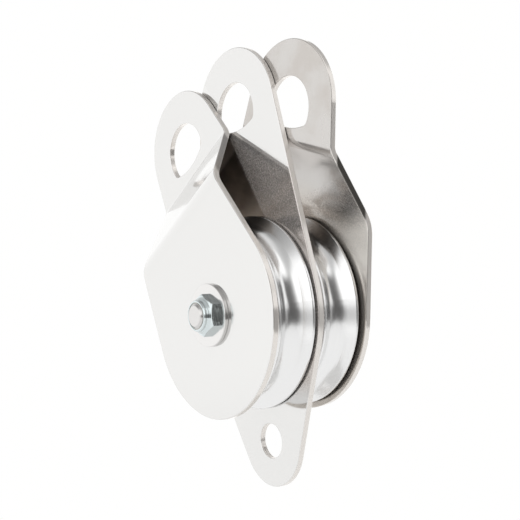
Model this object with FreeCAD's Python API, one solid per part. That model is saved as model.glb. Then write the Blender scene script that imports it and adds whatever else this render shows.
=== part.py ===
import FreeCAD, Part
import math
import os

from FreeCAD import Vector

# Double block: two grooved sheaves on one bolt, between a flat middle plate and two
# joggled side plates that swing about the bolt. All sizes are in millimetres.
# The sub-parts are modelled about the axle: Y runs along the bolt, Z runs up the middle
# plate, and the nut is at the low end of Y. At export the whole block drops by the eye
# height, so that the origin is the centre of the round part of the middle plate's upper eye.

# Plates. The upper eyes are round above and flattened below: their drop is measured from
# the centre of the round part, and their wall at the sides.
plate_thickness = 2.5
plate_edge_radius = 0.4
eye_radius = 12.55
eye_bottom_drop = 7.15
eye_bottom_radius = 28.0
eye_corner_radius = 2.5
eye_wall = 13.25
eye_end_rise = 0.9
becket_hole_radius = 6.8
becket_wall = 11.1
side_plate_overhang = 2.2
middle_plate_overhang = 0.9
becket_clearance = 3.8
bend_clearance = 4.5
joggle_rise = 26.6
lower_bend_inner_radius = 12.0
upper_bend_inner_radius = 5.0
bend_to_eye = 4.75
eye_gap = 0.2

# How far the side plates stand swung open from the middle plate, in degrees
front_swing_angle = 25.6
rear_swing_angle = 22.5

# Sheaves. The groove has a round bottom and straight flanks, which lean out from the
# sheave's flat sides by the flank angle.
sheave_radius = 38.1
sheave_width = 17.2
groove_radius = 6.4
groove_width = 14.9
groove_flank_angle = 35.0
sheave_edge_radius = 0.3
rim_edge_share = 0.33
hub_wall = 3.6
hub_recess = 0.4
bearing_lip = 1.6
recess_depth = 3.2
rim_wall = 3.0
recess_corner_radius = 1.2
inner_gap = 0.8
outer_gap = 1.5

# Sealed ball bearings
bearing_outer_radius = 15.0
bearing_width = 9.0
ball_radius = 2.381
ball_count = 8
race_gap = 3.4
seal_thickness = 0.8
seal_setback = 0.2
seal_seat = 0.6
cage_thickness = 1.4
cage_web = 0.6

# Retaining rings
ring_thickness = 1.1
ring_groove_depth = 0.7
ring_width = 1.9
ring_opening_angle = 44.0
ring_lug_radius = 1.5
ring_lug_hole_radius = 0.7
ring_lug_offset = 0.375

# Bolt, nut, washers and spacers
bolt_radius = 4.7625
bolt_end_chamfer = 0.8
bolt_overhang = 0.8
hex_across_flats = 14.29
hex_turn_angle = 5.0
nut_height = 5.2
nut_grip = 2.8
collar_radius = 6.1
collar_height = 1.2
collar_lip = 0.4
insert_radius = 5.7
insert_height = 1.5
head_height = 6.0
hex_chamfer_angle = 30.0
hex_face_margin = 0.2
washer_radius = 12.2
washer_thickness = 1.6
washer_edge_radius = 0.3
spacer_wall = 2.7

# Clearances, each on the radius unless it says otherwise
plate_running_clearance = 0.08
bolt_slip_clearance = 0.05
race_bore_clearance = 0.02
thread_clearance = 0.02
insert_clearance = 0.01
bearing_seat_clearance = 0.01
ball_race_clearance = 0.03
ball_pocket_clearance = 0.1
seal_lip_clearance = 0.1
ring_groove_clearance = 0.05

# Heights along the plates, measured up from the axle
side_plate_radius = sheave_radius + side_plate_overhang
middle_plate_radius = sheave_radius + middle_plate_overhang
lower_bend_height = sheave_radius + bend_clearance
upper_bend_height = lower_bend_height + joggle_rise
eye_height = upper_bend_height + bend_to_eye + eye_bottom_drop
eye_end_height = eye_height + eye_end_rise
eye_end_radius = eye_radius + eye_wall
becket_drop = side_plate_radius + becket_clearance + becket_hole_radius
becket_end_radius = becket_hole_radius + becket_wall

# Distances along the axle from the middle of the middle plate, the same on both sides
middle_face = plate_thickness / 2
sheave_inner_face = middle_face + inner_gap
sheave_middle = sheave_inner_face + sheave_width / 2
side_plate_inner_face = sheave_inner_face + sheave_width + outer_gap
side_plate_outer_face = side_plate_inner_face + plate_thickness
eye_inner_face = middle_face + eye_gap
eye_outer_face = eye_inner_face + plate_thickness
washer_face = side_plate_outer_face + washer_thickness

# Bearing radii
race_bore = bolt_radius + race_bore_clearance
pitch_radius = (race_bore + bearing_outer_radius) / 2
inner_shoulder = pitch_radius - race_gap / 2
outer_shoulder = pitch_radius + race_gap / 2
seal_recess_radius = outer_shoulder + seal_seat
seal_recess_depth = seal_thickness + seal_setback

axle = Vector(0, 1, 0)
origin = Vector(0, 0, 0)
touching = 1e-6
nodes = {}


def face_of(edges):
    """Flat face inside a closed run of edges."""
    return Part.Face(Part.Wire(Part.__sortEdges__(edges)))


def line(a, b):
    return Part.LineSegment(a, b).toShape()


def arc(a, middle, b):
    return Part.Arc(a, middle, b).toShape()


def arc_about(centre, radius, start, end, across, up):
    """Arc about a centre, from one angle to another, in the plane of two unit vectors."""
    points = []
    for angle in (start, (start + end) / 2, end):
        turn = math.radians(angle)
        points.append(centre + across * (radius * math.cos(turn)) + up * (radius * math.sin(turn)))
    return arc(*points)


def turned(profile):
    """Solid turned about the axle from (radius, place along the axle) corners."""
    corners = [Vector(radius, place, 0) for radius, place in profile]
    edges = [line(a, b) for a, b in zip(corners, corners[1:] + corners[:1])]
    return face_of(edges).revolve(origin, axle, 360)


def tube(inner_radius, outer_radius, start, end):
    return turned([(inner_radius, start), (outer_radius, start), (outer_radius, end), (inner_radius, end)])


def circles_of(shape):
    return [edge for edge in shape.Edges if edge.Curve.TypeId == "Part::GeomCircle"]


def hole(radius, x, z, depth):
    """Round cutter along the axle's direction, reaching past a depth on both sides."""
    return Part.makeCylinder(radius, 2 * depth, Vector(x, -depth, z), axle)


def ball_directions():
    """Unit vectors from the axle to each ball."""
    turns = [2 * math.pi * (index + 0.5) / ball_count for index in range(ball_count)]
    return [Vector(math.cos(turn), 0, math.sin(turn)) for turn in turns]


def on_side(shape, side):
    """Copy of a sub-part made for the high end of the axle, mirrored for the low end."""
    if side > 0:
        return shape
    return shape.mirror(origin, axle)


def at_bearing(shape, side):
    """Piece made about the middle of a sheave, moved to the sheave on one side."""
    shape = on_side(shape, side)
    shape.translate(Vector(0, side * sheave_middle, 0))
    return shape


def plate_outline(body_radius, becket=False):
    """Plate seen along the axle: round eye end, round body and the straight tangents."""
    across, up = Vector(1, 0, 0), Vector(0, 0, 1)
    eye = Vector(0, 0, eye_end_height)
    slope = math.degrees(math.asin((body_radius - eye_end_radius) / eye_end_height))

    def rim(centre, radius, angle):
        turn = math.radians(angle)
        return centre + across * (radius * math.cos(turn)) + up * (radius * math.sin(turn))

    edges = [arc_about(eye, eye_end_radius, slope, 180 - slope, across, up)]
    for angle in (slope, 180 - slope):
        edges.append(line(rim(eye, eye_end_radius, angle), rim(origin, body_radius, angle)))
    if not becket:
        edges.append(arc_about(origin, body_radius, 180 - slope, 360 + slope, across, up))
        return face_of(edges)
    tip = Vector(0, 0, -becket_drop)
    taper = math.degrees(math.asin((body_radius - becket_end_radius) / becket_drop))
    edges.append(arc_about(origin, body_radius, -taper, slope, across, up))
    edges.append(arc_about(origin, body_radius, 180 - slope, 180 + taper, across, up))
    edges.append(arc_about(tip, becket_end_radius, 180 + taper, 360 - taper, across, up))
    for angle in (-taper, 180 + taper):
        edges.append(line(rim(origin, body_radius, angle), rim(tip, becket_end_radius, angle)))
    return face_of(edges)


def ends_of(edge):
    low, high = edge.ParameterRange
    return edge.valueAt(low), edge.valueAt(high)


def crosses_plate(edge):
    """True for the short edges that run through the plate's thickness or along a bend."""
    start, end = ends_of(edge)
    step = end - start
    if edge.Closed:
        return False
    through = math.hypot(step.x, step.z) < touching
    along_bend = math.hypot(step.y, step.z) < touching and edge.Curve.TypeId == "Part::GeomLine"
    return through or along_bend


def rounded_rim(plate):
    """Plate with the edges of its outline and eyes eased, and its bolt hole left sharp."""
    edges = []
    for edge in plate.Edges:
        start, end = ends_of(edge)
        at_bolt = math.hypot(start.x, start.z) < eye_end_radius and math.hypot(end.x, end.z) < eye_end_radius
        if not at_bolt and not crosses_plate(edge):
            edges.append(edge)
    return plate.makeFillet(plate_edge_radius, edges)


def eye_cutter(depth):
    """Cutter for an upper eye: round, but for a flattened bottom between two eased corners."""
    across, up = Vector(1, 0, 0), Vector(0, 0, 1)
    eye = up * eye_height
    rise = eye_bottom_radius - eye_bottom_drop
    bottom_centre = eye + up * rise
    from_eye = eye_radius - eye_corner_radius
    from_bottom = eye_bottom_radius - eye_corner_radius
    corner_up = (from_eye ** 2 - from_bottom ** 2 + rise ** 2) / (2 * rise)
    corner_across = math.sqrt(from_eye ** 2 - corner_up ** 2)
    side = math.degrees(math.atan2(corner_up, corner_across))
    bottom = math.degrees(math.atan2(corner_up - rise, corner_across))
    right = eye + up * corner_up + across * corner_across
    left = eye + up * corner_up - across * corner_across
    outline = face_of([
        arc_about(eye, eye_radius, side, 180 - side, across, up),
        arc_about(right, eye_corner_radius, bottom, side, across, up),
        arc_about(left, eye_corner_radius, 180 - side, 180 - bottom, across, up),
        arc_about(bottom_centre, eye_bottom_radius, -180 - bottom, bottom, across, up),
    ])
    cutter = outline.extrude(Vector(0, 2 * depth, 0))
    cutter.translate(Vector(0, -depth, 0))
    return cutter


def middle_plate():
    blank = plate_outline(middle_plate_radius, becket=True)
    plate = blank.extrude(Vector(0, plate_thickness, 0))
    plate.translate(Vector(0, -plate_thickness / 2, 0))
    plate = plate.cut(eye_cutter(plate_thickness))
    plate = plate.cut(hole(becket_hole_radius, 0, -becket_drop, plate_thickness))
    plate = plate.cut(hole(bolt_radius + bolt_slip_clearance, 0, 0, plate_thickness))
    return rounded_rim(plate)


def joggle_section():
    """Side view of a side plate: two flat runs joined by a slope, with round bends."""
    out, up = Vector(0, 1, 0), Vector(0, 0, 1)
    body_middle = side_plate_inner_face + plate_thickness / 2
    eye_middle = eye_inner_face + plate_thickness / 2
    lean = math.degrees(math.atan2(body_middle - eye_middle, joggle_rise))
    lower_radius = lower_bend_inner_radius + plate_thickness / 2
    upper_radius = upper_bend_inner_radius + plate_thickness / 2
    half_turn = math.tan(math.radians(lean / 2))
    lower_centre = out * (body_middle - lower_radius) + up * (lower_bend_height - lower_radius * half_turn)
    upper_centre = out * (eye_middle + upper_radius) + up * (upper_bend_height + upper_radius * half_turn)
    bottom = -2 * side_plate_radius
    top = eye_height + 2 * eye_end_radius
    edges = []
    ends = []
    for half in (-plate_thickness / 2, plate_thickness / 2):
        lower = arc_about(lower_centre, lower_radius + half, 0, lean, out, up)
        upper = arc_about(upper_centre, upper_radius - half, 180 + lean, 180, out, up)
        foot = out * (body_middle + half) + up * bottom
        head = out * (eye_middle + half) + up * top
        edges += [lower, upper]
        edges.append(line(foot, lower.valueAt(lower.FirstParameter)))
        edges.append(line(lower.valueAt(lower.LastParameter), upper.valueAt(upper.FirstParameter)))
        edges.append(line(upper.valueAt(upper.LastParameter), head))
        ends.append((foot, head))
    edges.append(line(ends[0][0], ends[1][0]))
    edges.append(line(ends[0][1], ends[1][1]))
    return face_of(edges)


def side_plate(side, swing):
    """Joggled plate, swung about the axle; a positive swing turns its eye towards high X."""
    reach = 2 * side_plate_radius
    strip = joggle_section().extrude(Vector(2 * reach, 0, 0))
    strip.translate(Vector(-reach, 0, 0))
    depth = 2 * side_plate_outer_face
    blank = plate_outline(side_plate_radius).extrude(Vector(0, depth, 0))
    plate = strip.common(blank)
    plate = plate.cut(eye_cutter(depth))
    plate = plate.cut(hole(bolt_radius + plate_running_clearance, 0, 0, depth))
    plate = rounded_rim(plate)
    plate = on_side(plate, side)
    plate.rotate(origin, axle, swing)
    return plate


def sheave(side):
    """Turned sheave: rope groove, thin flanges, recessed sides and a seat for its bearing."""
    half = sheave_width / 2
    hub = half - hub_recess
    seat = bearing_outer_radius + bearing_seat_clearance
    lip = bearing_outer_radius - bearing_lip
    hub_radius = bearing_outer_radius + hub_wall
    ring_start = bearing_width / 2
    ring_end = ring_start + ring_thickness + ring_groove_clearance
    ring_radius = bearing_outer_radius + ring_groove_depth
    web = half - recess_depth
    groove_half = groove_width / 2
    flank = math.radians(groove_flank_angle)
    flank_start = groove_radius * math.cos(flank)
    flank_end = sheave_radius - (groove_half - flank_start) / math.tan(flank)
    groove_bottom = flank_end - groove_radius * (1 - math.sin(flank))
    recess_end = groove_bottom - rim_wall

    profile = [
        (sheave_radius, half), (recess_end, half), (recess_end, web), (hub_radius, web), (hub_radius, hub),
        (seat, hub), (seat, ring_end), (ring_radius, ring_end), (ring_radius, ring_start), (seat, ring_start),
        (seat, -bearing_width / 2), (lip, -bearing_width / 2), (lip, -hub),
        (hub_radius, -hub), (hub_radius, -web), (recess_end, -web), (recess_end, -half), (sheave_radius, -half),
    ]
    corners = [Vector(radius, place, 0) for radius, place in profile]
    rims = [Vector(sheave_radius, -groove_half, 0), Vector(sheave_radius, groove_half, 0)]
    feet = [Vector(flank_end, -flank_start, 0), Vector(flank_end, flank_start, 0)]
    path = [feet[1], rims[1]] + corners + [rims[0], feet[0]]
    edges = [line(a, b) for a, b in zip(path, path[1:])]
    edges.append(arc(feet[0], Vector(groove_bottom, 0, 0), feet[1]))
    body = face_of(edges).revolve(origin, axle, 360)

    corners = []
    for edge in circles_of(body):
        if abs(abs(edge.Curve.Center.y) - web) < touching and edge.Curve.Radius > hub_radius - touching:
            corners.append(edge)
    body = body.makeFillet(recess_corner_radius, corners)
    rims = [edge for edge in circles_of(body) if abs(edge.Curve.Radius - sheave_radius) < touching]
    edge_radius = min(sheave_edge_radius, rim_edge_share * (half - groove_half))
    return at_bearing(body.makeFillet(edge_radius, rims), side)


def inner_race():
    half = bearing_width / 2
    ring = tube(race_bore, inner_shoulder, -half, half)
    return ring.cut(Part.makeTorus(pitch_radius, ball_radius + ball_race_clearance, origin, axle))


def outer_race():
    half = bearing_width / 2
    ring = tube(outer_shoulder, bearing_outer_radius, -half, half)
    ring = ring.cut(Part.makeTorus(pitch_radius, ball_radius + ball_race_clearance, origin, axle))
    for start, end in ((-half, -half + seal_recess_depth), (half - seal_recess_depth, half)):
        ring = ring.cut(tube(outer_shoulder - seal_seat, seal_recess_radius, start, end))
    return ring


def seal():
    """Shield on the low side of a bearing: it sits in the outer race and clears the inner."""
    start = -bearing_width / 2 + seal_setback
    inner = inner_shoulder + seal_lip_clearance
    outer = seal_recess_radius - bearing_seat_clearance
    return tube(inner, outer, start, start + seal_thickness)


def balls():
    return Part.makeCompound([Part.makeSphere(ball_radius, way * pitch_radius) for way in ball_directions()])


def ball_cage():
    """Thin ring between the races, with a pocket drilled through it for each ball."""
    half = ball_radius + cage_web
    ring = tube(pitch_radius - cage_thickness / 2, pitch_radius + cage_thickness / 2, -half, half)
    for way in ball_directions():
        start = way * (pitch_radius - cage_thickness)
        ring = ring.cut(Part.makeCylinder(ball_radius + ball_pocket_clearance, 2 * cage_thickness, start, way))
    return ring


def retaining_ring():
    """Open spring ring with two lugs and their plier holes, beside the bearing."""
    start = bearing_width / 2
    end = start + ring_thickness
    outer = bearing_outer_radius + ring_groove_depth - ring_groove_clearance
    inner = bearing_outer_radius - ring_width
    ring = tube(inner, outer, start, end)
    half_opening = math.radians(ring_opening_angle / 2)
    reach = 2 * outer
    corners = [
        Vector(0, start, 0),
        Vector(reach * math.sin(half_opening), start, reach * math.cos(half_opening)),
        Vector(-reach * math.sin(half_opening), start, reach * math.cos(half_opening)),
    ]
    wedge = face_of([line(a, b) for a, b in zip(corners, corners[1:] + corners[:1])])
    ring = ring.cut(wedge.extrude(Vector(0, ring_thickness, 0)))
    lug_place = inner + ring_lug_offset
    lug_turn = half_opening + math.asin(ring_lug_radius / lug_place)
    for sign in (-1, 1):
        centre = Vector(sign * lug_place * math.sin(lug_turn), start, lug_place * math.cos(lug_turn))
        ring = ring.fuse(Part.makeCylinder(ring_lug_radius, ring_thickness, centre, axle))
        ring = ring.cut(Part.makeCylinder(ring_lug_hole_radius, ring_thickness, centre, axle))
    return ring.removeSplitter()


def hexagon(height):
    """Hexagonal prism with a corner near the top, chamfered to a round face at its outer end."""
    corner_radius = hex_across_flats / math.sqrt(3)
    corners = []
    for index in range(6):
        turn = math.radians(60 * index + hex_turn_angle)
        corners.append(Vector(corner_radius * math.sin(turn), 0, corner_radius * math.cos(turn)))
    prism = face_of([line(a, b) for a, b in zip(corners, corners[1:] + corners[:1])])
    prism = prism.extrude(Vector(0, height, 0))
    face_radius = hex_across_flats / 2 - hex_face_margin
    drop = (corner_radius - face_radius) * math.tan(math.radians(hex_chamfer_angle))
    barrel = turned([
        (0, 0), (corner_radius, 0), (corner_radius, height - drop), (face_radius, height), (0, height),
    ])
    return prism.common(barrel)


def axle_bolt():
    """Hex bolt: the head bears on the high washer and the end stands out of the nut."""
    end = -washer_face - nut_height - bolt_overhang
    shank = turned([
        (0, end), (bolt_radius - bolt_end_chamfer, end), (bolt_radius, end + bolt_end_chamfer),
        (bolt_radius, washer_face), (0, washer_face),
    ])
    head = hexagon(head_height)
    head.translate(Vector(0, washer_face, 0))
    return shank.fuse(head).removeSplitter()


def insert_pocket():
    """Profile of the pocket in the nut's collar, measured from the washer face outwards."""
    front = nut_height - collar_lip
    return front - insert_height, front


def axle_nut():
    """Lock nut: a chamfered hexagon, a sloping shoulder and a collar rolled over an insert."""
    bore = bolt_radius + thread_clearance
    low, high = insert_pocket()
    shoulder = nut_height - collar_height
    hex_face = hex_across_flats / 2 - hex_face_margin
    round_off = collar_radius - insert_radius
    collar = turned([
        (0, 0), (hex_face, 0), (hex_face, nut_grip), (collar_radius, shoulder),
        (collar_radius, nut_height - round_off), (insert_radius, nut_height), (0, nut_height),
    ])
    nut = hexagon(nut_grip).fuse(collar).removeSplitter()
    nut = nut.cut(tube(0, bore, 0, nut_height))
    nut = nut.cut(tube(0, insert_radius, low, high))
    nut = nut.cut(tube(0, insert_radius - round_off, low, nut_height))
    return on_nut_side(nut)


def nut_insert():
    """Ring that grips the bolt's thread, held in the nut's collar."""
    low, high = insert_pocket()
    outer = insert_radius - insert_clearance
    return on_nut_side(tube(bolt_radius + thread_clearance, outer, low, high))


def on_nut_side(shape):
    """Piece made outwards from the washer face, turned to the low end of the axle."""
    shape = shape.mirror(origin, axle)
    shape.translate(Vector(0, -washer_face, 0))
    return shape


def washer(side):
    ring = tube(bolt_radius + bolt_slip_clearance, washer_radius, side_plate_outer_face, washer_face)
    rims = [edge for edge in circles_of(ring) if abs(edge.Curve.Radius - washer_radius) < touching]
    return on_side(ring.makeFillet(washer_edge_radius, rims), side)


def spacer(start, end, side):
    bore = bolt_radius + bolt_slip_clearance
    return on_side(tube(bore, bore + spacer_wall, start, end), side)


nodes["middle_plate"] = middle_plate()
nodes["front_side_plate"] = side_plate(-1, -front_swing_angle)
nodes["rear_side_plate"] = side_plate(1, rear_swing_angle)
nodes["axle_bolt"] = axle_bolt()
nodes["axle_nut"] = axle_nut()
nodes["nut_insert"] = nut_insert()
nodes["nut_washer"] = washer(-1)
nodes["head_washer"] = washer(1)

bearing_inner_side = sheave_middle - bearing_width / 2
bearing_outer_side = sheave_middle + bearing_width / 2
for name, side in (("front", -1), ("rear", 1)):
    nodes[name + "_inner_spacer"] = spacer(middle_face, bearing_inner_side, side)
    nodes[name + "_outer_spacer"] = spacer(bearing_outer_side, side_plate_inner_face, side)
    nodes[name + "_sheave"] = sheave(side)
    nodes[name + "_bearing_inner_race"] = at_bearing(inner_race(), side)
    nodes[name + "_bearing_outer_race"] = at_bearing(outer_race(), side)
    nodes[name + "_inner_seal"] = at_bearing(seal(), side)
    nodes[name + "_outer_seal"] = at_bearing(seal().mirror(origin, axle), side)
    nodes[name + "_bearing_balls"] = at_bearing(balls(), side)
    nodes[name + "_ball_cage"] = at_bearing(ball_cage(), side)
    nodes[name + "_retaining_ring"] = at_bearing(retaining_ring(), side)

os.makedirs("parts", exist_ok=True)
for name, shape in nodes.items():
    placed = shape.copy()
    placed.translate(Vector(0, 0, -eye_height))
    placed.exportStep("parts/" + name + ".step")
    print(name, "solids", len(placed.Solids), "volume", round(placed.Volume, 1), "valid", placed.isValid())
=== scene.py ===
# %% [markdown]
# # A double block in polished steel
# A double block carries two ropes, each over a sheave of its own. The two sheaves share one
# bolt, with a flat middle plate between them and a bent side plate outside each of them. The
# side plates swing about the bolt, so that a rope can be laid in from the side, and then the
# three upper eyes line up for the shackle.
#
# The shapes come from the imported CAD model, in metres. This script gives them their finishes,
# adds what is too fine for the solids, and builds the light tent, the floor and the camera.

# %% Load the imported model
import math
from collections import namedtuple

import bpy
from mathutils import Matrix, Vector


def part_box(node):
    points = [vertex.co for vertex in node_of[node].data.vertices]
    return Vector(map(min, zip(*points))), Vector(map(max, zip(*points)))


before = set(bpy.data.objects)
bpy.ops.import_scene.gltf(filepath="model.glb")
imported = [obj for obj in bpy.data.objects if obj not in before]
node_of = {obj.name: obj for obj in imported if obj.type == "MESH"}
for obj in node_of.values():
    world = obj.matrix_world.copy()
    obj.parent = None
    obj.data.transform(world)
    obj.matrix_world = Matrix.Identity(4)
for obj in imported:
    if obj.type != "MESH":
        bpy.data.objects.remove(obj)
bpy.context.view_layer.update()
print("pieces in the model:", len(node_of))

# %% [markdown]
# ## Shader sums in plain Python
# A finish is a chain of nodes, and a chain is hard to read when each link is made by hand. So
# one small class stands for a node's output. Adding or multiplying two of them adds the Math
# node that does it, and the reflected forms let a number stand on the left, as in 1 - mask.
# A bench is the place where one finish is put together: it makes any other node.

# %% A value that can be reckoned with
class Value:
    """Number that changes over a surface: one output of a node."""

    def __init__(self, bench, socket):
        self.bench = bench
        self.socket = socket

    def __add__(self, other):
        return self.bench.maths("ADD", self, other)

    def __sub__(self, other):
        return self.bench.maths("SUBTRACT", self, other)

    def __rsub__(self, other):
        return self.bench.maths("SUBTRACT", other, self)

    def __mul__(self, other):
        return self.bench.maths("MULTIPLY", self, other)

    def __truediv__(self, other):
        return self.bench.maths("DIVIDE", self, other)

    def __neg__(self):
        return self.bench.maths("MULTIPLY", self, -1.0)

    def __abs__(self):
        return self.bench.maths("ABSOLUTE", self)

    __radd__ = __add__
    __rmul__ = __mul__


# %% The bench that makes nodes
class Bench:
    """Node tree of one finish, with the few moves that the finishes below are made of."""

    def __init__(self, tree):
        self.tree = tree
        tree.nodes.clear()

    def node(self, kind, settings=None, inputs=None, output=0):
        """Make a node: its settings first, then what goes into its sockets."""
        made = self.tree.nodes.new(kind)
        for name, value in (settings or {}).items():
            if name == "stops":
                self.set_stops(made.color_ramp.elements, value)
            else:
                setattr(made, name, value)
        for name, value in (inputs or {}).items():
            if isinstance(value, Value):
                self.tree.links.new(value.socket, made.inputs[name])
            else:
                made.inputs[name].default_value = value
        return Value(self, made.outputs[output]) if made.outputs else None

    def set_stops(self, elements, stops):
        """Put the (place, level) stops of a ramp in, from low to high."""
        while len(elements) < len(stops):
            elements.new(1.0)
        for element, (place, level) in zip(elements, stops):
            element.position = place
            element.color = (level, level, level, 1.0)

    def maths(self, operation, *terms):
        """Math node with its terms in order, also for what has no sign, such as a root."""
        return self.node("ShaderNodeMath", {"operation": operation}, dict(enumerate(terms)))

    def vector_maths(self, operation, first, second):
        """Sum on places or colours, number by number."""
        return self.node("ShaderNodeVectorMath", {"operation": operation}, {0: first, 1: second})

    def clamp(self, value, low, high):
        """The value, kept between two limits."""
        return self.maths("MINIMUM", self.maths("MAXIMUM", value, low), high)

    def ease(self, value, start, end):
        """0 before start, 1 past end and a soft step between them."""
        inputs = {"Value": value, "From Min": start, "From Max": end}
        return self.node("ShaderNodeMapRange", {"interpolation_type": "SMOOTHSTEP"}, inputs)

    def within(self, value, low, high, soft):
        """1 between two limits, fading to 0 outside them."""
        past_low = self.ease(value, low - soft, low + soft)
        return past_low * (1 - self.ease(value, high - soft, high + soft))

    def blend(self, share, first, second):
        """Number that goes from the first to the second as the share goes from 0 to 1."""
        inputs = {"Factor": share, 2: first, 3: second}
        return self.node("ShaderNodeMix", {"data_type": "FLOAT"}, inputs)

    def tint(self, share, first, second):
        """Colour that goes from the first to the second as the share goes from 0 to 1."""
        inputs = {"Factor": share, 6: first, 7: second}
        return self.node("ShaderNodeMix", {"data_type": "RGBA"}, inputs, output=2)

    def ramp(self, place, stops):
        """Level read from a row of (place, level) stops."""
        return self.node("ShaderNodeValToRGB", {"stops": stops}, {"Fac": place})

    def point(self):
        """Place on the piece in metres, which stays with it as it moves."""
        return self.node("ShaderNodeTexCoord", output="Object")

    def split(self, vector):
        """The three numbers of a place or a direction."""
        first = self.node("ShaderNodeSeparateXYZ", None, {0: vector})
        return [Value(self, socket) for socket in first.socket.node.outputs]

    def facing(self):
        """How the surface looks along the bolt: 1 towards its head, -1 towards the nut."""
        return self.split(self.node("ShaderNodeNewGeometry", output="Normal"))[1]

    def grain(self, point, scale, detail=2.0, roughness=0.5):
        """Noise between 0 and 1, with about as many spots to the metre as the scale says."""
        inputs = {"Vector": point, "Scale": scale, "Detail": detail, "Roughness": roughness}
        return self.node("ShaderNodeTexNoise", None, inputs)

    def marks(self, point, scale, detail, roughness, start, end):
        """Noise of which only the high places show, as smears, smudges or pits."""
        return self.ease(self.grain(point, scale, detail, roughness), start, end)

    def bump(self, height, distance, strength):
        """Fine relief; a height of 1 stands the distance proud, in metres."""
        inputs = {"Height": height, "Distance": distance, "Strength": strength}
        return self.node("ShaderNodeBump", None, inputs)

    def ray_is(self, *kinds):
        """1 for a ray of any of these kinds, and 0 for the rest."""
        found = 0.0
        for kind in kinds:
            found = self.maths("MAXIMUM", self.node("ShaderNodeLightPath", output=kind), found)
        return found

    def surface(self, inputs):
        """Close the finish: the shader and the material's output."""
        shader = self.node("ShaderNodeBsdfPrincipled", None, inputs)
        self.node("ShaderNodeOutputMaterial", None, {"Surface": shader})


def new_finish(name):
    """Empty material and the bench on which it is put together."""
    material = bpy.data.materials.new(name)
    material.use_nodes = True
    return material, Bench(material.node_tree)


def dress(name, finish):
    """Give a piece its finish, in place of the plain one that it came with."""
    materials = node_of[name].data.materials
    materials.clear()
    materials.append(finish)
    print(name, "has", finish.name)


# %% [markdown]
# ## Where the bolt is
# The finishes follow the parts: turning marks run round the bolt, and grime gathers at a
# certain distance from it. So they need the bolt's place, which is read off the model.

# %% Find the bolt
bolt_low, bolt_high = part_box("axle_bolt")
axle_height = ((bolt_low + bolt_high) / 2).z
print("bolt at height", round(axle_height * 1000, 2), "mm")


def from_bolt(x, rise):
    """Distance from the bolt's middle line; rise is the height above it."""
    return x.bench.maths("SQRT", x * x + rise * rise)


# %% [markdown]
# ## Polished stainless plate
# The plates are cut from 2.5 mm stainless sheet and polished. The outer faces are nearly mirrors,
# with the faint swell that a polishing wheel leaves. The wheel reaches neither the inner faces
# of the side plates nor the middle plate between them, so those keep the satin skin of the
# rolled sheet, with its fine pits and the smudges of handling. The cut edges are rounded over
# but stay rougher still.
#
# Each kind of face could be picked out and given a material of its own, but then the borders
# would be hard, and on the real plates they are soft. So one material does all of this. The
# direction in which the surface looks tells face and edge apart, and the place on the plate says
# how far each kind of skin reaches.

# %% Steels of the plates
polished_steel = (0.74, 0.735, 0.725, 1.0)  # every outer face

between_steel = (0.76, 0.715, 0.685, 1.0)  # middle plate, between the side plates
# Painted shadow: the darker steel where a side plate's bend shades the middle plate.
bend_shadow_steel = (0.60, 0.56, 0.525, 1.0)  # middle plate, under a side plate's bend
cut_steel = (0.90, 0.86, 0.82, 1.0)  # middle plate, edge

dull_steel = (0.58, 0.555, 0.53, 1.0)  # front plate, inner face
# Painted shade: near-black for the deep gap between the front plate and the middle plate.
shaded_slope_steel = (0.13, 0.115, 0.105, 1.0)  # front plate, inside of the slope
satin_steel = (0.60, 0.58, 0.56, 1.0)  # rear plate, inner face and inside of the slope
sheared_steel = (0.86, 0.82, 0.78, 1.0)  # both side plates, edge
front_slope_edge_steel = (0.42, 0.40, 0.385, 1.0)
rear_slope_edge_steel = (0.10, 0.095, 0.085, 1.0)

# Painted shadow: the dark line in the gap beside the sheave's rim.
rim_shadow_steel = (0.17, 0.145, 0.125, 1.0)
# Painted highlight: the bright patch near the side plate's edge.
highlight_steel = (0.96, 0.925, 0.87, 1.0)
smudged_steel = (0.44, 0.39, 0.345, 1.0)
pitted_steel = (0.34, 0.27, 0.22, 1.0)

# Films lie on the steel: their colour is multiplied with the steel's.
# Warm fringe of the painted rim shadow.
shadow_fringe_film = (1.02, 0.985, 0.94, 1.0)
clear_film = (1.0, 1.0, 1.0, 1.0)
print("polished steel throws back", polished_steel[:3])

# %% Marks of the plates
# Each kind of mark: spots to the metre, detail and roughness of the noise, and the levels of
# the noise at which the mark starts to show and shows in full.
smear_marks = (90.0, 3.0, 0.6, 0.5, 0.75)
smudge_marks = (55.0, 3.0, 0.6, 0.42, 0.72)
pit_marks = (1500.0, 4.0, 0.7, 0.42, 0.66)
swell_scale, swell_height, swell_strength = 38.0, 0.0004, 0.25

# How strongly each mark shows
smear_roughness = 0.04
smudge_share = 0.35
pit_share = 0.2

# How metallic the polished face is, and what skin, pits and the painted highlight take off
polished_metal, skin_dulls, pits_dull, highlight_dulls = 0.86, 0.13, 0.34, 0.62

# How squarely a spot looks along the bolt: below the first number it is edge, and above the
# second it is face. The slope of a side plate, with 0.81, is still face.
rounded_edge = (0.5, 0.79)
print("pits to the metre:", pit_marks[0])

# %% [markdown]
# A plate's finish is put together in one order: what the skin looks like at this spot, then
# smudges, rubbing and pits on top of it, and the cut edge last. What differs from plate to plate
# is handed in as small functions that say, for a spot, how much of something there is.

# %% Make the plate finish
Spot = namedtuple("Spot", "x y z rise facing")


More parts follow.
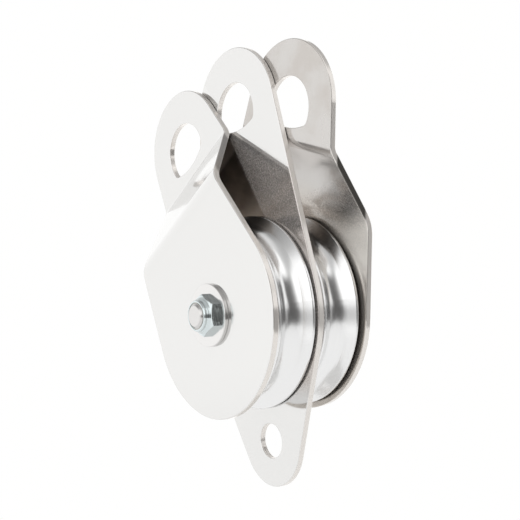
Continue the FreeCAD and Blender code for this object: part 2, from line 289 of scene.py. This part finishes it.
def plate_finish(name, seed, roughness, edge_metal, unpolished, skin, edge_steel, pitted,
                 highlight_patch=None, in_bend_shadow=None, two_faced=False):
    """Finish of one plate.

    The seed shifts the marks, so that each plate has its own. The roughness is that of the
    polished face, the skin and the edge. A two-faced plate wears the same zones on both sides,
    each turned towards the side plate that stands in front of it.
    """
    material, bench = new_finish(name)
    point = bench.point()
    x, y, z = bench.split(point)
    facing = bench.facing()
    if two_faced:
        x = -x * facing
    spot = Spot(x, y, z, z - axle_height, facing)
    face_roughness, skin_roughness, edge_roughness = roughness

    skin_share = unpolished(bench, spot)
    shifted = bench.vector_maths("ADD", point, (seed, seed, 0.0))
    smudges = bench.marks(shifted, *smudge_marks) * skin_share
    smears = bench.marks(shifted, *smear_marks)
    pits = bench.marks(shifted, *pit_marks) * pitted(bench, spot, skin_share)

    steel = bench.tint(skin_share, polished_steel, skin(bench, spot))
    steel = bench.tint(smudges * smudge_share, steel, smudged_steel)
    metal = polished_metal - skin_share * skin_dulls - pits * pits_dull
    # Painted highlight: brighter and less metallic steel near the side plate's edge.
    if highlight_patch:
        highlight_amount = highlight_patch(bench, spot) * skin_share
        steel = bench.tint(highlight_amount, steel, highlight_steel)
        metal = metal - highlight_amount * highlight_dulls
    # Painted shadow: under a side plate's bend the steel is fully metallic, so it picks up less
    # light.
    if in_bend_shadow:
        metal = bench.blend(in_bend_shadow(bench, spot), metal, 1.0)
    steel = bench.tint(pits * pit_share, steel, pitted_steel)
    shine = bench.blend(skin_share, face_roughness, skin_roughness) + smears * smear_roughness

    edge = 1 - bench.ease(abs(facing), *rounded_edge)
    swell = bench.grain(shifted, swell_scale, 1.0)
    bench.surface({
        "Base Color": bench.tint(edge, steel, edge_steel(bench, spot)),
        "Metallic": bench.blend(edge, metal, edge_metal),
        "Roughness": bench.blend(edge, shine, edge_roughness),
        "Normal": bench.bump(swell, swell_height, swell_strength),
    })
    return material


# %% [markdown]
# ### The middle plate
# The middle plate is flat. Its eye end and its becket stick out from between the side plates and
# are polished, and what lies between the plates keeps its skin. The border runs aslant, because
# the side plates lean, so it is measured down from a slanted line. Right under a side plate's
# bend lies a painted shadow: the steel is darker there, fully metallic and without pits.

# %% Zones of the middle plate
# A slanted line runs through the eye: how far it falls for each metre to the right, and how far
# below it the zone starts and is full.
skin_line = (0.634, 0.0070, 0.0150)
# The second line bounds the painted shadow of a side plate's bend.
bend_shadow_line = (2.04, 0.0180, 0.0230)
# How far below the eye each zone starts to fade and is gone
skin_ends = (0.108, 0.118)
bend_shadow_ends = (0.050, 0.062)


def below_line(bench, spot, fall, start, end):
    """0 close to a slanted line and above it, and 1 well below it."""
    return bench.ease(-spot.z - spot.x * fall, start, end)


def between_plates(bench, spot):
    """Where the side plates stand close in front of the middle plate."""
    return below_line(bench, spot, *skin_line) * (1 - bench.ease(-spot.z, *skin_ends))


def bend_shadow_zone(bench, spot):
    """Where a side plate's bend casts its painted shadow on the middle plate."""
    return below_line(bench, spot, *bend_shadow_line) * (1 - bench.ease(-spot.z, *bend_shadow_ends))


def middle_skin(bench, spot):
    """Skin of the middle plate, with the painted shadow under the bend."""
    return bench.tint(bend_shadow_zone(bench, spot), between_steel, bend_shadow_steel)


def middle_edge(bench, spot):
    """The middle plate's edge is cut the same way all round."""
    return cut_steel


def middle_pits(bench, spot, skin_share):
    """Pits show on the skin, but not under the bend."""
    return skin_share * (1 - bend_shadow_zone(bench, spot))


middle_finish = plate_finish(
    "middle_plate_steel", seed=0.0, roughness=(0.07, 0.09, 0.2), edge_metal=0.5,
    unpolished=between_plates, skin=middle_skin, edge_steel=middle_edge, pitted=middle_pits,
    in_bend_shadow=bend_shadow_zone, two_faced=True)
dress("middle_plate", middle_finish)

# %% [markdown]
# ### The side plates
# A side plate is bent twice, so that its eye lies against the middle plate and its lower part
# clears the sheave. The edge is darker along the slope between the bends, and inside the front
# plate's slope the steel is painted nearly black, as painted shade for the deep gap between the
# plates. Beside the sheave's rim the inner face carries a painted shadow: a dark line next to
# the rim and a warm fringe beyond it. A bright patch near the plate's edge is a painted highlight.

# %% Zones of the side plates
# The slope begins over these distances from the block's middle, measured along the bolt. It
# ends this far inside the plate's outer face, after a fade that is longer on the skin.
slope_begins = (0.0042, 0.0054)
slope_ends_inside = 0.0030
edge_fade, skin_fade = 0.0016, 0.0070
# How squarely the surface looks the inner way where the inner face starts and is full
inner_facing = (0.3, 0.7)
# Distances from the bolt: painted rim shadow ends, its warm fringe ends, painted highlight begins
rim_shadow_ends = (0.0365, 0.0388)
shadow_fringe_ends = (0.043, 0.056)
highlight_begins = (0.0365, 0.0420)
# Heights above the bolt between which the painted highlight lies, how softly it ends, how strong
highlight_low, highlight_high, highlight_soft, highlight_share = 0.009, 0.0295, 0.006, 0.95
# How far below the eye the pits end
pits_end = (0.058, 0.068)


def side_plate(node, name, seed, inner_way, steel, slope_steel, slope_edge_steel,
               skin_roughness, pits_begin):
    """Finish of one side plate; inner_way is 1 where its inner face looks towards the head."""
    low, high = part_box(node)
    slope_end = max(abs(low.y), abs(high.y)) - slope_ends_inside
    print(node, "has its slope up to", round(slope_end * 1000, 2), "mm from the middle")

    def slope(bench, spot, fade):
        """1 on the sloped part, between the plate's two flat parts."""
        off_middle = abs(spot.y)
        begun = bench.ease(off_middle, *slope_begins)
        return begun * (1 - bench.ease(off_middle, slope_end - fade, slope_end))

    def inner_face(bench, spot):
        """1 on the inner face, which stays unpolished."""
        return bench.ease(spot.facing * inner_way, *inner_facing)

    def inner_skin(bench, spot):
        """Skin of the inner face, with a painted shadow and its warm fringe beside the sheave's
        rim.
        """
        reach = from_bolt(spot.x, spot.rise)
        bare = bench.tint(slope(bench, spot, skin_fade), steel, slope_steel)
        skin = bench.tint(bench.ease(reach, *rim_shadow_ends), rim_shadow_steel, bare)
        fringe = bench.tint(bench.ease(reach, *shadow_fringe_ends), shadow_fringe_film, clear_film)
        return bench.vector_maths("MULTIPLY", skin, fringe)

    def side_edge(bench, spot):
        """The edge, darker along the slope."""
        return bench.tint(slope(bench, spot, edge_fade), sheared_steel, slope_edge_steel)

    def highlight_patch(bench, spot):
        """Painted highlight near the plate's edge beside the sheave, where a light is reflected.
        """
        begun = bench.ease(from_bolt(spot.x, spot.rise), *highlight_begins)
        beside = bench.within(spot.rise, highlight_low, highlight_high, highlight_soft)
        return begun * beside * highlight_share

    def pitted(bench, spot, skin_share):
        """Pits show between the eye and the sheave."""
        below_eye = -spot.z
        begun = bench.ease(below_eye, *pits_begin)
        return skin_share * begun * (1 - bench.ease(below_eye, *pits_end))

    return plate_finish(
        name, seed, roughness=(0.09, skin_roughness, 0.12), edge_metal=0.65,
        unpolished=inner_face, skin=inner_skin, edge_steel=side_edge, pitted=pitted, highlight_patch=highlight_patch)


front_finish = side_plate(
    "front_side_plate", "front_plate_steel", seed=0.37, inner_way=1.0,
    steel=dull_steel, slope_steel=shaded_slope_steel, slope_edge_steel=front_slope_edge_steel,
    skin_roughness=0.28, pits_begin=(0.02, 0.04))
rear_finish = side_plate(
    "rear_side_plate", "rear_plate_steel", seed=0.74, inner_way=-1.0,
    steel=satin_steel, slope_steel=satin_steel, slope_edge_steel=rear_slope_edge_steel,
    skin_roughness=0.15, pits_begin=(0.035, 0.043))
dress("front_side_plate", front_finish)
dress("rear_side_plate", rear_finish)

# %% [markdown]
# ## Turned and polished sheaves
# A sheave is turned on a lathe, so any mark left in it runs round the bolt. The polish is a
# mirror, and the marks only show where light grazes them. The flat sides are duller, and their
# colour is painted dark as the shade in the narrow gap between sheave and plate.
#
# The shader's anisotropy could stretch the highlights in the same way, but it draws no lines. So
# the marks are rings of slightly different height and shine, which are noise read from just two
# numbers: the distance to the bolt and the place along it.

# %% Make the sheave finish
groove_metal = (0.86, 0.86, 0.86, 1.0)
ringed_metal = (0.76, 0.755, 0.75, 1.0)
# Painted shade: the dark flat sides stand for the shade between sheave and plate.
shaded_side_metal = (0.24, 0.235, 0.23, 1.0)
rings_to_metre = 1800.0
ring_share, ring_roughness = 0.15, 0.05
ring_height, ring_strength = 0.00002, 0.2
groove_roughness, faced_roughness = 0.18, 0.5
# How squarely the surface looks along the bolt where the flat side starts and is full
flat_facing = (0.97, 0.995)

sheave_finish, bench = new_finish("mirror_turned_metal")
x, y, z = bench.split(bench.point())
place_on_lathe = {0: from_bolt(x, z - axle_height), 1: y}
rings = bench.grain(bench.node("ShaderNodeCombineXYZ", None, place_on_lathe), rings_to_metre)
groove = bench.tint(rings * ring_share, groove_metal, ringed_metal)
flat_side = bench.ease(abs(bench.facing()), *flat_facing)
shine = bench.blend(flat_side, groove_roughness, faced_roughness)
bench.surface({
    "Base Color": bench.tint(flat_side, groove, shaded_side_metal), "Metallic": 1.0,
    "Roughness": shine + rings * ring_roughness,
    "Normal": bench.bump(rings, ring_height, ring_strength),
})
for name in ("front_sheave", "rear_sheave"):
    dress(name, sheave_finish)

# %% [markdown]
# ## Bolt, nut and washers
# The bolt and the lock nut are bright stainless: a little duller and cooler than the plates,
# since nobody polishes a nut. All small steel pieces have a fine grain, and the nut has turning
# lines as well. The bolt's end carries a 24 to the inch thread, which could be cut into the mesh.
# But it sits in the nut and its point is chamfered, so a bump is enough, which climbs one pitch
# for each turn about the bolt, and stops where the plain shank begins.

# %% Make the fastener finish
thread_pitch = 0.0254 / 24
thread_length = 0.016
thread_run_out = 0.001
thread_end = bolt_low.y + thread_length
full_circle = 2 * math.pi
grain_to_metre, grain_height, grain_roughness = 700.0, 0.02, 0.04
lines_to_metre, lines_stretch = 1600.0, 0.6
relief_height, relief_strength = 0.0003, 0.6


def fastener_steel(name, steel, roughness, threaded=False, turned=0.0):
    """Finish of a small steel piece; turned says how high its turning lines stand."""
    material, bench = new_finish(name)
    point = bench.point()
    x, y, z = bench.split(point)
    rise = z - axle_height
    grain = bench.grain(point, grain_to_metre)
    height = grain * grain_height
    if turned:
        place_on_lathe = {0: y, 1: from_bolt(x, rise) * lines_stretch}
        lines = bench.node("ShaderNodeCombineXYZ", None, place_on_lathe)
        height = height + bench.grain(lines, lines_to_metre) * turned
    if threaded:
        turn = bench.maths("ARCTAN2", x, rise) / full_circle
        climb = bench.maths("PINGPONG", y / thread_pitch + turn, 0.5)
        height = height + climb * (1 - bench.ease(y, thread_end - thread_run_out, thread_end))
    bench.surface({
        "Base Color": steel, "Metallic": 1.0,
        "Roughness": roughness + grain * grain_roughness,
        "Normal": bench.bump(height, relief_height, relief_strength),
    })
    return material


bolt_finish = fastener_steel("bright_bolt_steel", (0.66, 0.65, 0.64, 1.0), 0.24, threaded=True)
nut_finish = fastener_steel("bright_nut_steel", (0.66, 0.72, 0.73, 1.0), 0.10, turned=1.2)
washer_finish = fastener_steel("polished_washer_steel", (0.72, 0.71, 0.70, 1.0), 0.12)
spacer_finish = fastener_steel("turned_spacer_steel", (0.72, 0.72, 0.71, 1.0), 0.22)
ring_finish = fastener_steel("black_spring_steel", (0.10, 0.10, 0.11, 1.0), 0.35)
race_finish = fastener_steel("ground_race_steel", (0.70, 0.70, 0.70, 1.0), 0.16)
shield_finish = fastener_steel("pressed_shield_steel", (0.55, 0.55, 0.54, 1.0), 0.30)

# %% [markdown]
# ## Plastics inside
# The nut grips the bolt's thread with a nylon ring, and a moulded cage keeps the balls apart.
# Both are natural nylon: off-white, and clouded a little by the moulding. One plain colour would
# nearly do, but a soft noise in colour and shine keeps the cage from looking like paper.

# %% Make the nylon
nylon_colour = (0.80, 0.79, 0.75, 1.0)
clouding = 0.85
clouded_nylon = [channel * clouding for channel in nylon_colour[:3]] + [1.0]
clouds_to_metre = 500.0
nylon_roughness, cloud_roughness = 0.42, 0.1
cloud_height, cloud_strength = 0.00005, 0.3

nylon_finish, bench = new_finish("natural_nylon")
clouds = bench.grain(bench.point(), clouds_to_metre)
bench.surface({
    "Base Color": bench.tint(clouds, nylon_colour, clouded_nylon),
    "Roughness": nylon_roughness + clouds * cloud_roughness,
    "Normal": bench.bump(clouds, cloud_height, cloud_strength),
})
print("nylon:", nylon_finish.name)

# %% Dress every small piece
small_pieces = {
    "axle_bolt": bolt_finish, "axle_nut": nut_finish, "nut_insert": nylon_finish,
    "nut_washer": washer_finish, "head_washer": washer_finish,
}
for side in ("front", "rear"):
    small_pieces.update({
        side + "_inner_spacer": spacer_finish, side + "_outer_spacer": spacer_finish,
        side + "_bearing_inner_race": race_finish, side + "_bearing_outer_race": race_finish,
        side + "_inner_seal": shield_finish, side + "_outer_seal": shield_finish,
        side + "_bearing_balls": race_finish, side + "_ball_cage": nylon_finish,
        side + "_retaining_ring": ring_finish,
    })
for name, finish in small_pieces.items():
    dress(name, finish)

# %% [markdown]
# ## The light tent
# Polished metal shows nothing but its surroundings, so the surroundings are the real lighting.
# A catalogue photograph of such a block is taken in a light tent: a white sheet below, a big
# soft box to the left of the camera, a second one high on the right, a gray ceiling, and the
# dark opening that the camera looks in through.
#
# Area lamps and white walls could be set up in the same places. But the world needs no room and
# makes no noise, and its level can be drawn for each direction. So the tent is built as the
# world, from two angles of each ray: how far it turns about the upright, and how far it climbs.
# A turn of 0 looks along -y and one of 90 degrees along +x. The camera stands at 54 degrees.

# %% Angles of a ray
world = bpy.data.worlds.new("light_tent")
bpy.context.scene.world = world
world.use_nodes = True
tent = Bench(world.node_tree)
ray_x, ray_y, ray_z = tent.split(tent.node("ShaderNodeTexCoord", output="Generated"))
degrees_in_radian = 180 / math.pi
turn = tent.maths("ARCTAN2", ray_x, -ray_y) * degrees_in_radian
climb = tent.maths("ARCSINE", ray_z) * degrees_in_radian
print("world:", world.name)


# %% Levels round the tent
brightest = 1.25


def round_tent(turned, stops):
    """Level that changes with the turn; each stop is (degrees, level), up to the brightest."""
    placed = [((degrees + 180) / 360, level / brightest) for degrees, level in stops]
    return tent.ramp(turned / 360 + 0.5, placed) * brightest


# %% [markdown]
# The opening lies lowest, the soft boxes over it, and above them the upper walls. The soft box on
# the left reaches further round the higher it is, so its band leans: it is read at a turn that
# is shifted with the climb.

# %% The three bands of the walls
# Below this climb the boxes end earlier, by a share of the drop, which counts up to a limit.
# All of these are in degrees, apart from the share.
lean_top, lean_drop, lean_share = 15, 30.0, 0.8
leaning_turn = turn + tent.clamp(lean_top - climb, 0.0, lean_drop) * lean_share
boxes = round_tent(leaning_turn, [
    (-180, 0.95), (-60, 1.0), (0, 1.12), (47, 1.15), (60, 0.62), (70, 0.35), (80, 0.2),
    (95, 0.14), (120, 0.13), (130, 0.85), (150, 1.0), (180, 0.95),
])
opening = round_tent(turn, [
    (-180, 0.95), (-60, 0.98), (5, 0.9), (15, 0.55), (27, 0.4), (38, 0.22), (50, 0.115),
    (60, 0.095), (122, 0.1), (132, 0.32), (148, 0.3), (162, 0.9), (180, 0.95),
])
upper_walls = round_tent(turn, [
    (-180, 0.35), (-130, 0.35), (-90, 0.6), (-60, 0.45), (-30, 0.24), (-5, 0.42), (30, 0.49),
    (50, 0.53), (70, 0.66), (80, 0.88), (92, 1.12), (130, 1.1), (155, 0.4), (180, 0.35),
])

# %% [markdown]
# The bands are laid over each other from the bottom to the top, each with a soft border. The gray
# ceiling closes them above. The white sheet closes them below, and its far edge is drawn up a
# little on the left.

# %% Put the tent together
opening_to_boxes = (-4.0, 1.5)
boxes_to_walls = (30.0, 42.0)
walls_to_ceiling = (62.0, 84.0)
ceiling_level, sheet_level = 0.68, 1.0
# The sheet's edge lies this far below the horizon. To the left of a turn it is drawn up by a
# share of the way from there, up to a limit. The border is soft by this much on either side.
sheet_below, sheet_turn, sheet_pull, sheet_most, sheet_soft = 22.5, 65, 0.2, 10.5, 1.5
tent_strength = 1.18

level = tent.blend(tent.ease(climb, *opening_to_boxes), opening, boxes)
level = tent.blend(tent.ease(climb, *boxes_to_walls), level, upper_walls)
level = tent.blend(tent.ease(climb, *walls_to_ceiling), level, ceiling_level)
sheet_edge = tent.clamp((sheet_turn - turn) * sheet_pull, 0.0, sheet_most) - sheet_below
on_sheet = tent.ease(climb - sheet_edge, sheet_soft, -sheet_soft)
level = tent.blend(on_sheet, level, sheet_level) * tent_strength

# %% [markdown]
# The camera itself sees plain white behind the block, and so would a ray that comes through glass.
# That is set by the kind of ray, so it adds no light to the block. A ray thrown back by metal sees
# the tent, whose walls are as white on that side, so the metal shows the same background.

# %% Finish the world
# What is dim in the tent is a little warmer than what is bright, up to this level
dim_light = (1.0, 0.975, 0.96, 1.0)
bright_light = (1.0, 1.0, 0.997, 1.0)
bright_from = 0.6
plain_white = 1.0

strength = tent.blend(tent.ray_is("Is Camera Ray", "Is Transmission Ray"), level, plain_white)
colour = tent.tint(tent.ease(level, 0.0, bright_from), dim_light, bright_light)
light = tent.node("ShaderNodeBackground", None, {"Color": colour, "Strength": strength})
tent.node("ShaderNodeOutputWorld", None, {"Surface": light})
print("light tent nodes:", len(world.node_tree.nodes))

# %% [markdown]
# ## Floor
# The block hangs by its eyes, so the floor is a pale round table top well below it. The table is
# only as wide as the white sheet of the tent is seen to be, because a wider one would hide the
# tent's dark opening from the mirror surfaces. To the camera, to metal and through glass part of
# it glows, so that it looks pale without throwing more light on the block. The rest takes the
# block's shadow.

# %% Lay the floor
floor_drop = 0.25
table_radius = 0.40
table_corners = 96
pale_paper = (0.90, 0.90, 0.895, 1.0)
gray_paper = (0.87, 0.87, 0.865, 1.0)
paper_grain = (60.0, 3.0)
glow_share, glow_strength = 0.6, 1.2
white = (1.0, 1.0, 1.0, 1.0)

bpy.ops.mesh.primitive_circle_add(
    vertices=table_corners, radius=table_radius, fill_type="NGON", location=(0, 0, -floor_drop))
floor = bpy.context.object
floor.name = "floor"
floor_finish, bench = new_finish("pale_table")
paper = bench.tint(bench.grain(bench.point(), *paper_grain), pale_paper, gray_paper)
matt = bench.node("ShaderNodeBsdfDiffuse", None, {"Color": paper})
glow = bench.node("ShaderNodeEmission", None, {"Color": white, "Strength": glow_strength})
seen = bench.ray_is("Is Camera Ray", "Is Glossy Ray", "Is Transmission Ray")
table_top = bench.node("ShaderNodeMixShader", None, {0: seen * glow_share, 1: matt, 2: glow})
bench.node("ShaderNodeOutputMaterial", None, {"Surface": table_top})
floor.data.materials.append(floor_finish)
print("floor at", -floor_drop, "m, radius", table_radius, "m")

# %% [markdown]
# ## Camera
# The camera stands to the right of the bolt's end and a little below the block's middle. It
# looks up by six degrees and is tipped by six as well. A camera could be aimed at a target, but
# that leaves the tip open. So its turn is given by two directions, to its right and to its back,
# which put the model's outlines on the photograph's.

# %% Set the camera
camera_place = (0.34963, -0.25598, -0.10867)
right = Vector((0.5820, 0.8056, -0.1109))
back = Vector((0.7984, -0.5920, -0.1106)).normalized()
right = (right - back * right.dot(back)).normalized()
up = back.cross(right)
camera_turn = Matrix((right, up, back)).transposed().to_4x4()

camera_data = bpy.data.cameras.new("camera")
camera_data.sensor_width = 36.0
camera_data.lens = 75.36
camera = bpy.data.objects.new("camera", camera_data)
camera.matrix_world = Matrix.Translation(camera_place) @ camera_turn
bpy.context.scene.collection.objects.link(camera)
bpy.context.scene.camera = camera
bpy.context.scene.view_settings.view_transform = "Standard"
print("camera at", camera_place)

# %% [markdown]
# ## End of the scene
# The finishes must not change the block's size.

# %% Finish
print("scene built")
